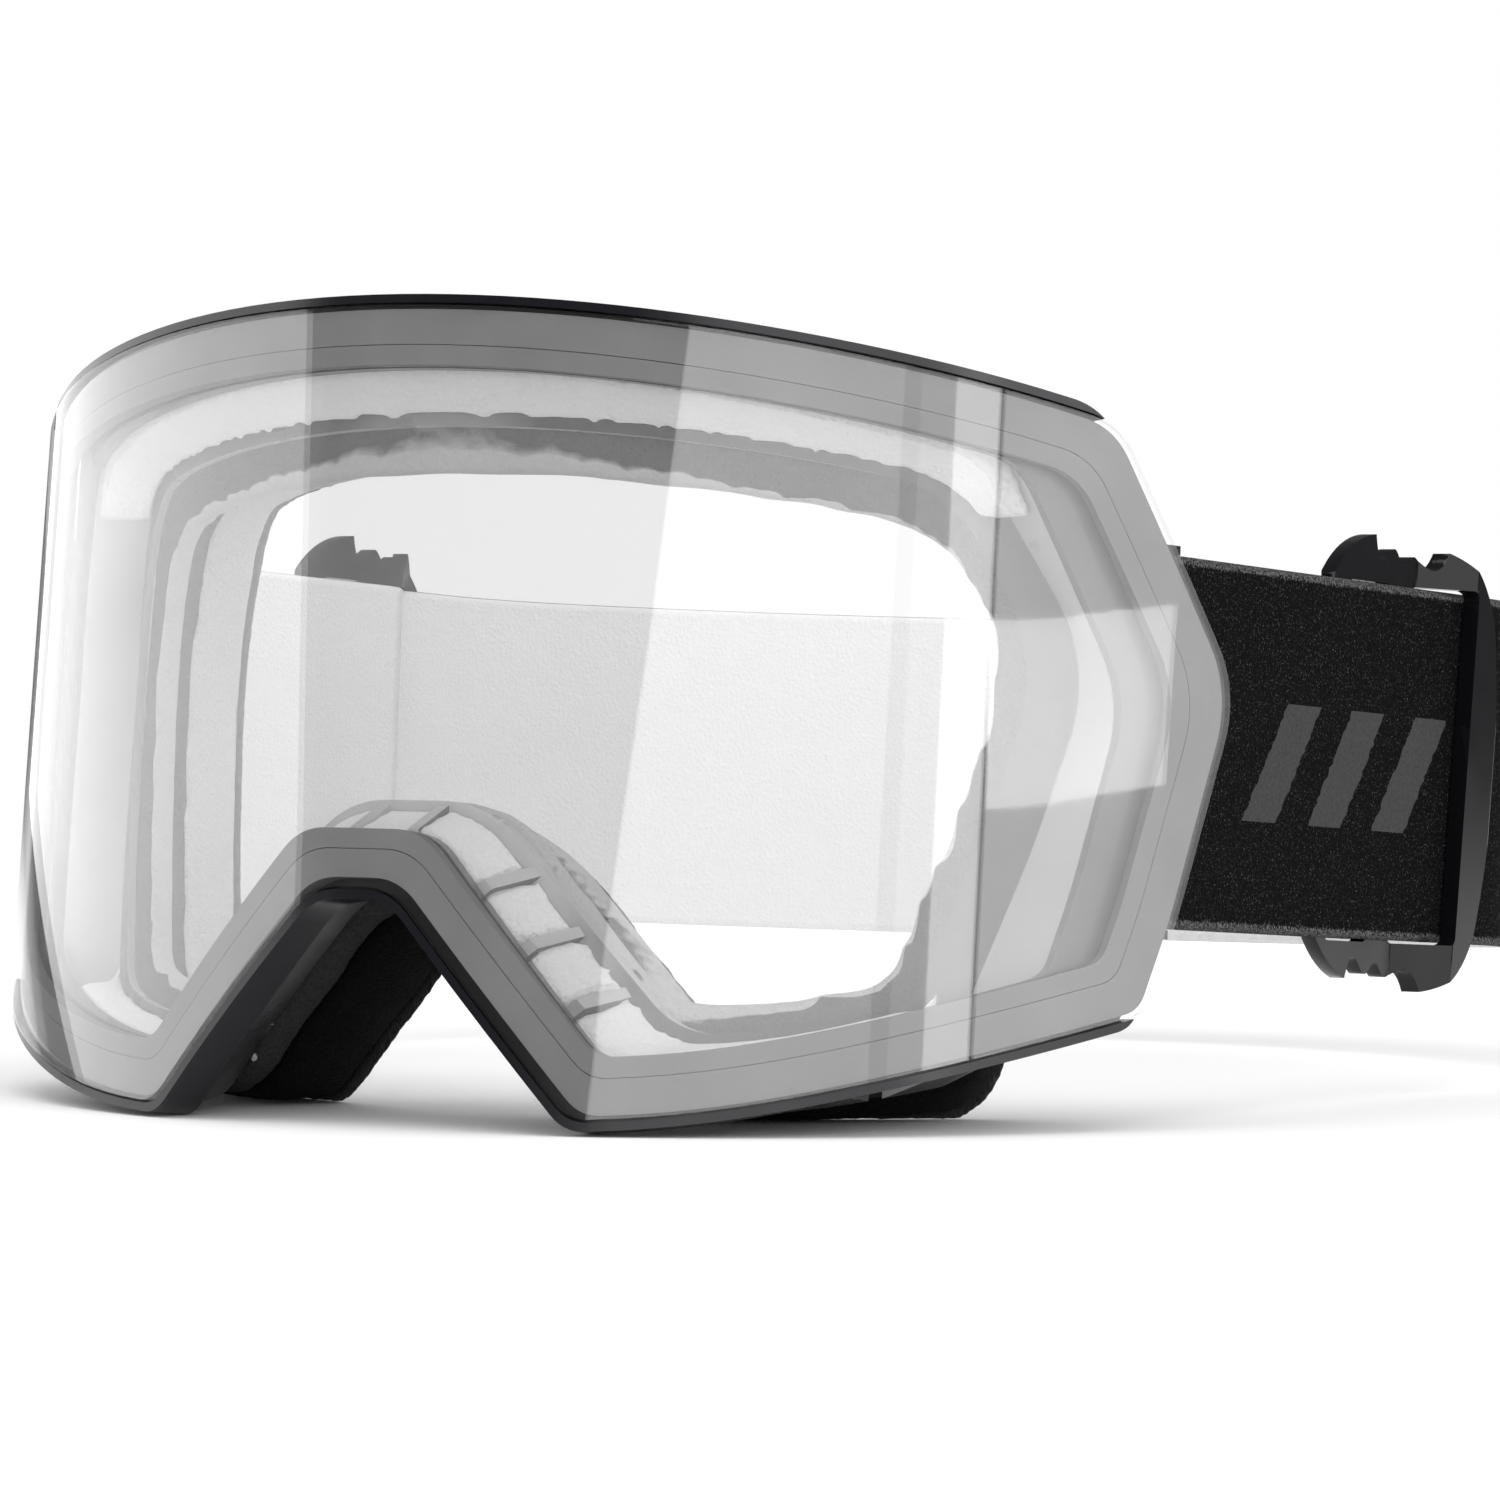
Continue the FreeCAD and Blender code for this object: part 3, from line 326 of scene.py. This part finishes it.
def webbing_material(name, inner_tone_and_light):
    """Black knitted elastic: painted glints of its thread, painted highlights near its rolled edges, and a
    paler inner side, partly its own colour and partly painted light.
    """
    tree = Tree(name)
    stitches = tree.cells(STITCH)
    loops = tree.noise(0.35 * MM, 3.0, 0.7)
    # Painted highlight: scattered light-grey specks in the colour stand in for glints of the thread.
    speckle = tree.noise(0.28 * MM, 1.0)
    glints = tree.spread(speckle, 0.62, 0.78)
    shaded = tree.blend(loops, grey(0.0005), grey(0.0055))
    colour = tree.blend(glints, shaded, grey(0.1))
    # Painted highlight: brighter specks near the rolled top and bottom edges, where the roll catches the
    # light.
    along_up = {0: tree.place, 1: tuple(STRAP_UP)}
    height = tree.add("VectorMath", along_up, operation="DOT_PRODUCT").outputs["Value"]
    edge = tree.maths("ABSOLUTE", tree.maths("SUBTRACT", height, MIDDLE))
    near_edge = tree.spread(edge, HALF_WIDTH - EDGE_ROLL, HALF_WIDTH - EDGE_ROLL / 2)
    wear_and_edge_glint = tree.maths("MULTIPLY", near_edge, speckle)
    colour = tree.blend(tree.spread(wear_and_edge_glint, 0.35, 0.7), colour, grey(0.16))
    outward = tree.add("VectorMath", {0: tree.place, 1: (1.0, 1.0, 0.0)}, operation="MULTIPLY").outputs[0]
    facing = tree.add("TexCoord").outputs["Normal"]
    outside = tree.add("VectorMath", {0: outward, 1: facing}, operation="DOT_PRODUCT").outputs["Value"]
    # Paler inner side: partly the strap's own colour, partly painted light standing in for the lens haze and
    # reflections seen over it.
    pale_inner_and_light = tree.blend(loops, grey(inner_tone_and_light * 0.9), grey(inner_tone_and_light))
    colour = tree.blend(tree.spread(outside, -0.012, -0.006), pale_inner_and_light, colour)
    raised = tree.bump(tree.maths("ADD", stitches, loops), 0.22 * MM)
    inputs = {"Base_Color": colour, "Roughness": 0.85, "Normal": raised, "Specular_IOR_Level": 0.06}
    return tree.finish(tree.principled(**inputs))


def print_material(name):
    """Matt grey ink pressed into the knit."""
    tree = Tree(name)
    wear_and_edge_glint = tree.spread(tree.noise(0.5 * MM, 3.0, 0.7), 0.3, 0.7)
    colour = tree.blend(wear_and_edge_glint, grey(0.04), grey(0.062))
    raised = tree.bump(tree.cells(STITCH), 0.1 * MM, 0.7)
    inputs = {"Base_Color": colour, "Roughness": 0.75, "Normal": raised, "Specular_IOR_Level": 0.06}
    return tree.finish(tree.principled(**inputs))


def floor_material():
    """White paper near the goggles that runs out into white light further off."""
    tree = Tree("white_floor")
    away = tree.add("VectorMath", {0: tree.place}, operation="LENGTH").outputs["Value"]
    far = tree.spread(away, 0.45, 1.6)
    paper = tree.add("BsdfDiffuse", {"Color": grey(0.93)}).outputs[0]
    mirrored = tree.add("LightPath").outputs["Is Glossy Ray"]
    strength = tree.spread(mirrored, 0.0, 1.0, 1.0, MIRRORED_WHITE)
    light = tree.add("Emission", {"Color": grey(1.0), "Strength": strength}).outputs[0]
    return tree.finish(tree.add("MixShader", {0: far, 1: paper, 2: light}).outputs[0])


# ---------------------------------------------------------------- mesh helpers
def new_object(name, mesh):
    piece = bpy.data.objects.new(name, mesh)
    bpy.context.scene.collection.objects.link(piece)
    return piece


def mesh_from(name, points, faces):
    mesh = bpy.data.meshes.new(name)
    mesh.from_pydata([tuple(point) for point in points], [], faces)
    mesh.update()
    return mesh


def shade_smooth(piece):
    piece.data.polygons.foreach_set("use_smooth", [True] * len(piece.data.polygons))


def dress(piece, material):
    piece.data.materials.clear()
    piece.data.materials.append(material)
    return piece


def finish_piece(piece, material, body, nodes=()):
    """Gives a piece its material and body, and hides the CAD nodes it stands for."""
    dress(piece, material)
    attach(piece, body)
    if nodes:
        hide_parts(*nodes)
    return piece


WELD = 0.002 * MM


def welded_copy(name, node):
    """A new object with a CAD node's shape, its split edges joined again."""
    piece = new_object(name, NODES[node].data.copy())
    work = bmesh.new()
    work.from_mesh(piece.data)
    bmesh.ops.remove_doubles(work, verts=work.verts, dist=WELD)
    work.to_mesh(piece.data)
    work.free()
    return piece


def apply_modifiers(piece):
    """Turns a piece's modifiers into plain mesh."""
    graph = bpy.context.evaluated_depsgraph_get()
    graph.update()
    mesh = bpy.data.meshes.new_from_object(piece.evaluated_get(graph))
    piece.modifiers.clear()
    piece.data = mesh
    return piece


def remesh(piece, voxel):
    modifier = piece.modifiers.new("remesh", "REMESH")
    modifier.mode = "VOXEL"
    modifier.voxel_size = voxel
    modifier.use_smooth_shade = True
    return apply_modifiers(piece)


def relax(piece, repeats):
    modifier = piece.modifiers.new("relax", "SMOOTH")
    modifier.iterations = repeats
    modifier.factor = 0.5
    return apply_modifiers(piece)


def subdivide(piece):
    modifier = piece.modifiers.new("subdivide", "SUBSURF")
    modifier.levels = 1
    modifier.render_levels = 1
    return apply_modifiers(piece)


def shape_tree(node):
    """A lookup of the nearest point on a CAD node's surface."""
    mesh = NODES[node].data
    points = [vertex.co for vertex in mesh.vertices]
    return bvhtree.BVHTree.FromPolygons(points, [list(face.vertices) for face in mesh.polygons])


def hold_near(piece, node, proud, glued):
    """Keeps a soft piece within proud of its CAD solid, and within glued of it on its front and rear."""
    surface = shape_tree(node)
    for vertex in piece.data.vertices:
        point, normal, _, distance = surface.find_nearest(vertex.co)
        outside = (vertex.co - point).dot(normal) > 0
        allowed = glued if abs(normal.y) > 0.8 else proud
        if outside and distance > allowed:
            vertex.co = point + (vertex.co - point).normalized() * allowed


def ruffle(piece, depth, lump):
    """Small uneven lumps over a soft surface."""
    clouds = bpy.data.textures.new(piece.name + "_lumps", "CLOUDS")
    clouds.noise_scale = lump
    clouds.noise_depth = 2
    modifier = piece.modifiers.new("ruffle", "DISPLACE")
    modifier.texture = clouds
    modifier.texture_coords = "LOCAL"
    modifier.mid_level = 0.5
    modifier.strength = 2 * depth
    return apply_modifiers(piece)


def vertex_values(piece, field):
    """One vector of every vertex, in rows."""
    values = numpy.empty(len(piece.data.vertices) * 3)
    piece.data.vertices.foreach_get(field, values)
    return values.reshape(-1, 3)


def place_vertices(piece, places):
    piece.data.vertices.foreach_set("co", places.ravel())
    piece.data.update()


def draw_in(piece, distance):
    """Moves the whole surface inwards."""
    place_vertices(piece, vertex_values(piece, "co") - vertex_values(piece, "normal") * distance)


def stand_on_floor(piece):
    """Lifts any point that dips below the surface the goggles rest on."""
    places = vertex_values(piece, "co")
    places[:, 2] = numpy.maximum(places[:, 2], 0.0)
    place_vertices(piece, places)


SIM_SCALE = 10.0
SIM_FRAMES = 16


def inflate(piece, pressure, cap):
    """Cloth pressure on a closed shape, worked out at ten times its size, with each point's move capped."""
    rest = [vertex.co.copy() for vertex in piece.data.vertices]
    for vertex in piece.data.vertices:
        vertex.co *= SIM_SCALE
    cloth = piece.modifiers.new("cloth", "CLOTH")
    cloth.settings.quality = 4
    cloth.settings.use_pressure = True
    cloth.settings.uniform_pressure_force = pressure
    cloth.settings.tension_stiffness = 25
    cloth.settings.compression_stiffness = 25
    cloth.settings.bending_stiffness = 2.0
    cloth.settings.effector_weights.gravity = 0
    cloth.point_cache.frame_start = 1
    cloth.point_cache.frame_end = SIM_FRAMES
    scene = bpy.context.scene
    for moment in range(1, SIM_FRAMES + 1):
        scene.frame_set(moment)
    apply_modifiers(piece)
    scene.frame_set(1)
    for vertex, start in zip(piece.data.vertices, rest):
        move = vertex.co / SIM_SCALE - start
        if move.length > cap:
            move *= cap / move.length
        vertex.co = start + move


# ---------------------------------------------------------------- foam
GLUED = 0.1 * MM
FOAM_LUMP = 1.2 * MM


def foam_ring(name, node, material, slot, fill, voxel, shrink, lump, pressure=0.0, cap=GLUED):
    """A cut foam ring: its edges rounded over, its free sides bulging, its glued faces flat."""
    piece = welded_copy(name, node)
    remesh(piece, voxel)
    draw_in(piece, shrink)
    relax(piece, 8)
    if pressure:
        inflate(piece, pressure, cap)
        relax(piece, 8)
    hold_near(piece, node, cap, GLUED)
    subdivide(piece)
    ruffle(piece, lump, FOAM_LUMP)
    stand_on_floor(piece)
    shade_smooth(piece)
    finish_piece(piece, material, "frame", (node,))


def add_foams():
    front_and_inner, inner_only = (0.0005, 0.004), (-0.008, -0.002)
    # The fourth values are the paler inner sides, partly painted light.
    base = foam_material("base_foam", 0.022, 0.036, 0.52, front_and_inner, 0.55 * MM, 0.25 * MM)
    core = foam_material("face_foam", 0.003, 0.006, 0.6, inner_only, 0.5 * MM, 0.3 * MM)
    scrim = foam_material("vent_foam", 0.5, 0.66, 0.85, front_and_inner, 0.7 * MM, 0.2 * MM)
    fleece = fleece_material("fleece")
    base_sizes = {"voxel": 1.5 * MM, "shrink": 0.4 * MM, "lump": 0.06 * MM, "cap": 0.4 * MM}
    core_sizes = {"voxel": 1.6 * MM, "shrink": 0.6 * MM, "lump": 0.08 * MM, "cap": 0.6 * MM}
    fleece_sizes = {"voxel": 0.6 * MM, "shrink": 0.05 * MM, "lump": 0.16 * MM}
    vent_sizes = {"voxel": 0.8 * MM, "shrink": 0.1 * MM, "lump": 0.06 * MM}
    foam_ring("base_foam_ring", "foam_base", base, "base_foam", 0.7, pressure=2.0, **base_sizes)
    foam_ring("face_foam_ring", "foam_core", core, "face_foam", 0.7, pressure=3.0, **core_sizes)
    foam_ring("fleece_lining", "face_fleece", fleece, "fleece", 0.5, **fleece_sizes)
    for node in ("vent_foam_crown", "vent_foam_lower"):
        foam_ring(node + "_pad", node, scrim, "vent_foam", 0.5, **vent_sizes)


# ---------------------------------------------------------------- strap
STRAP_AXIS = -Vector(JOINTS["strap_adjust_left"]["axis"])
STRAP_UP = Vector((1, 0, 0)).cross(STRAP_AXIS)
CORNER_RADIUS = 34 * MM
CORNER_TURN = math.radians(40)


def span(node, axis):
    """How far a CAD node reaches along an axis: its lowest and highest value."""
    along = [vertex.co.dot(axis) for vertex in NODES[node].data.vertices]
    return min(along), max(along)


LOW, HIGH = span("strap_left", STRAP_UP)
MIDDLE = (LOW + HIGH) / 2
HALF_WIDTH = (HIGH - LOW) / 2
SKIN_IN, SKIN_OUT = span("strap_left", Vector((1, 0, 0)))
THICK = span("strap_inner_left", Vector((1, 0, 0)))[1] - SKIN_IN
STRAP_X = SKIN_OUT - THICK / 2
FOLD_RADIUS = (SKIN_OUT - SKIN_IN) / 2 - THICK / 2
FOLD_START, RUN_END = span("strap_left", STRAP_AXIS)
FOLD_ALONG = FOLD_START + FOLD_RADIUS + THICK / 2
TAIL_START = span("strap_inner_left", STRAP_AXIS)[0]


def strap_point(x, along, up):
    """A point from its place across, along and up the strap's own frame."""
    return Vector((x, 0, 0)) + STRAP_AXIS * along + STRAP_UP * (MIDDLE + up)


def arc_points(centre, radius, first, last, steps):
    """Points and outward normals along an arc, angles in radians from +X towards the back."""
    made = []
    for step in range(steps + 1):
        angle = first + (last - first) * step / steps
        outward = Vector((math.cos(angle), math.sin(angle)))
        made.append((Vector(centre) + outward * radius, outward))
    return made


FOLD_STEPS, STRAIGHT_STEPS, CORNER_STEPS, BEND_STEPS, INNER_STEPS = 18, 44, 10, 26, 24


def strap_path():
    """The whole outer strap, from one fold's end to the other's: (point, outward normal) in (x, along)."""
    fold = arc_points((STRAP_X - FOLD_RADIUS, FOLD_ALONG), FOLD_RADIUS, -math.pi, 0.0, FOLD_STEPS)
    tail = [(Vector((STRAP_X - 2 * FOLD_RADIUS, TAIL_START)), Vector((-1, 0)))]
    straight = []
    for step in range(1, STRAIGHT_STEPS):
        along = FOLD_ALONG + (RUN_END - FOLD_ALONG) * step / STRAIGHT_STEPS
        straight.append((Vector((STRAP_X, along)), Vector((1, 0))))
    corner_x = STRAP_X - CORNER_RADIUS
    corner = arc_points((corner_x, RUN_END), CORNER_RADIUS, 0.0, CORNER_TURN, CORNER_STEPS)
    end = corner[-1][0]
    bend_radius = end.x / math.cos(CORNER_TURN)
    bend_centre = (0, end.y - bend_radius * math.sin(CORNER_TURN))
    bend = arc_points(bend_centre, bend_radius, CORNER_TURN, math.pi / 2, BEND_STEPS)
    half = tail + fold + straight + corner + bend[1:]
    mirrored = []
    for point, outward in half[-2::-1]:
        mirrored.append((Vector((-point.x, point.y)), Vector((-outward.x, outward.y))))
    return half + mirrored


EDGE_ROLL = 1.9 * MM
EDGE_DIP = 0.16 * MM
WALE = 1.21 * MM
WALE_HEIGHT = 0.03 * MM


def webbing_section(thickness, half_width):
    """The strap's cut end, as (across, out): a flat band with rolled edges and a dip inside each."""
    outer = []
    steps = int(2 * half_width / (WALE / 2))
    for step in range(steps + 1):
        up = -half_width + 2 * half_width * step / steps
        inset = half_width - abs(up)
        if inset < EDGE_ROLL:
            share = inset / EDGE_ROLL
            out = thickness / 2 * math.sqrt(max(0.0, 1 - (1 - min(1.0, share * 2)) ** 2))
            out -= EDGE_DIP * max(0.0, math.sin(math.pi * max(0.0, share - 0.5)))
        else:
            out = thickness / 2 - EDGE_DIP + WALE_HEIGHT * math.cos(2 * math.pi * up / WALE)
        outer.append((up, out))
    inner = [(up, -out) for up, out in outer[::-1]]
    return outer + inner[1:-1]


def swept_band(name, path, section):
    """A band with this section along a path of (point, outward normal) in (x, along)."""
    points, faces = [], []
    count = len(section)
    for point, outward in path:
        for up, out in section:
            place = point + outward * out
            points.append(strap_point(place.x, place.y, up))
    for ring in range(len(path) - 1):
        for index in range(count):
            after = (index + 1) % count
            first, second = ring * count, (ring + 1) * count
            faces.append((first + index, second + index, second + after, first + after))
    half = count // 2
    for ring, flip in ((0, False), (len(path) - 1, True)):
        start = ring * count
        for index in range(half):
            corners = (index, index + 1, (count - index - 1) % count, (count - index) % count)
            face = list(dict.fromkeys(start + corner for corner in corners))
            faces.append(tuple(face[::-1] if flip else face))
    piece = new_object(name, mesh_from(name, points, faces))
    work = bmesh.new()
    work.from_mesh(piece.data)
    bmesh.ops.recalc_face_normals(work, faces=work.faces)
    work.to_mesh(piece.data)
    work.free()
    shade_smooth(piece)
    return piece


def add_strap():
    # 0.85 is the paler inner side, partly painted light.
    webbing = webbing_material("webbing", 0.85)
    section = webbing_section(THICK, HALF_WIDTH)
    band = swept_band("strap_band", strap_path(), section)
    finish_piece(band, webbing, "frame", ("strap_left", "strap_right", "strap_rear"))
    for word, side in SIDES:
        node = "strap_inner_" + word
        start, end = span(node, STRAP_AXIS)
        x = side * (STRAP_X - 2 * FOLD_RADIUS)
        outward = Vector((-side, 0))
        path = []
        for step in range(INNER_STEPS + 1):
            path.append((Vector((x, start + (end - start) * step / INNER_STEPS)), outward))
        inner = swept_band("strap_inner_band_" + word, path, section)
        finish_piece(inner, webbing, "frame", (node,))
        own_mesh(inner)


PRINT_PROUD = 0.05 * MM
PRINT_ROUGH = 0.32 * MM
PRINT_SLANT = 0.75
BAR_WIDTH = 9.5 * MM
BAR_STEP = 18.5 * MM
BAR_LOW, BAR_HIGH = -9.5 * MM, 6.5 * MM
BAR_COUNT = 3
BAR_ROWS, BAR_COLUMNS = 26, 6
PRINT_TO_SLIDER_REAR = 22.0 * MM


def slanted_bar(side, along, rng):
    """Points and faces of one printed bar, leaning back, with slightly ragged edges."""
    points = []
    for row in range(BAR_ROWS + 1):
        up = BAR_LOW + (BAR_HIGH - BAR_LOW) * row / BAR_ROWS
        shift = PRINT_SLANT * (up - BAR_LOW)
        front = rng.uniform(-PRINT_ROUGH, PRINT_ROUGH)
        back = rng.uniform(-PRINT_ROUGH, PRINT_ROUGH)
        for column in range(BAR_COLUMNS + 1):
            share = column / BAR_COLUMNS
            edge = front * (1 - share) + back * share
            place = along + shift + BAR_WIDTH * share + edge
            points.append(strap_point(side * (SKIN_OUT + PRINT_PROUD - EDGE_DIP), place, up))
    faces = []
    for row in range(BAR_ROWS):
        for column in range(BAR_COLUMNS):
            start = row * (BAR_COLUMNS + 1) + column
            face = (start, start + 1, start + BAR_COLUMNS + 2, start + BAR_COLUMNS + 1)
            faces.append(face if side > 0 else face[::-1])
    return points, faces


def add_prints():
    """Three plain slanted bars on each side of the strap, between the mask and the slider's rear bar."""
    ink = print_material("ink")
    rng = random.Random(4)
    for word, side in SIDES:
        last = span("slider_" + word, STRAP_AXIS)[1] - PRINT_TO_SLIDER_REAR - BAR_WIDTH
        points, faces = [], []
        for index in range(BAR_COUNT):
            bar = slanted_bar(side, last - (BAR_COUNT - 1 - index) * BAR_STEP, rng)
            faces += [tuple(corner + len(points) for corner in face) for face in bar[1]]
            points += bar[0]
        name = "strap_print_" + word
        finish_piece(new_object(name, mesh_from(name, points, faces)), ink, "frame")


# ---------------------------------------------------------------- hard parts
def soften_edges(node, width):
    """Small rounds along a CAD node's sharp edges, as a moulding has."""
    weld = NODES[node].modifiers.new("weld", "WELD")
    weld.merge_threshold = WELD
    bevel = NODES[node].modifiers.new("bevel", "BEVEL")
    bevel.width = width
    bevel.segments = 3
    bevel.limit_method = "ANGLE"
    bevel.angle_limit = math.radians(40)
    bevel.harden_normals = True


def dress_hard_parts():
    rim = plastic_material("rim_plastic", 0.004, 0.2, 0.35 * MM, 0.004 * MM)
    # The frame is painted paler on its inner side, partly as painted light.
    shell = plastic_material("frame_plastic", 0.006, 0.34, 0.3 * MM, 0.01 * MM, inner_tone_and_light=0.5)
    satin = plastic_material("anchor_plastic", 0.004, 0.42, 0.25 * MM, 0.012 * MM, specular=0.3)
    gloss = plastic_material("slider_plastic", 0.003, 0.13, 0.4 * MM, 0.002 * MM, blue=0.001, specular=0.35)
    spacer = plastic_material("spacer", 0.16, 0.7, 0.4 * MM, 0.02 * MM, blue=0.0, specular=0.1)
    magnet = plastic_material("magnet_coating", 0.16, 0.6, 0.4 * MM, 0.02 * MM, blue=0.0, specular=0.1)
    materials = {
        "lens_outer": lens_material("outer_lens", 0.012, 0.975, 1.0, 0.0),
        "lens_inner": lens_material("inner_lens", 0.03, 0.975, 0.15, 0.085),
        "lens_gasket": spacer,
        "lens_carrier": spacer,
        "lens_magnets": magnet,
        "rim_magnets": magnet,
        "front_rim": rim,
        "frame_body": shell,
    }
    for word, _ in SIDES:
        materials["anchor_" + word] = satin
        materials["slider_" + word] = gloss
        soften_edges("slider_" + word, 0.45 * MM)
        soften_edges("anchor_" + word, 0.3 * MM)
    for node, material in materials.items():
        dress(NODES[node], material)


FLOOR_REACH = 40.0


def add_floor():
    corners = [(x * FLOOR_REACH, y * FLOOR_REACH, 0) for x, y in ((-1, -1), (1, -1), (1, 1), (-1, 1))]
    floor = new_object("floor", mesh_from("floor", corners, [(0, 1, 2, 3)]))
    dress(floor, floor_material())


add_camera()
add_world()
add_lights()
add_floor()
dress_hard_parts()
add_strap()
add_prints()
add_foams()
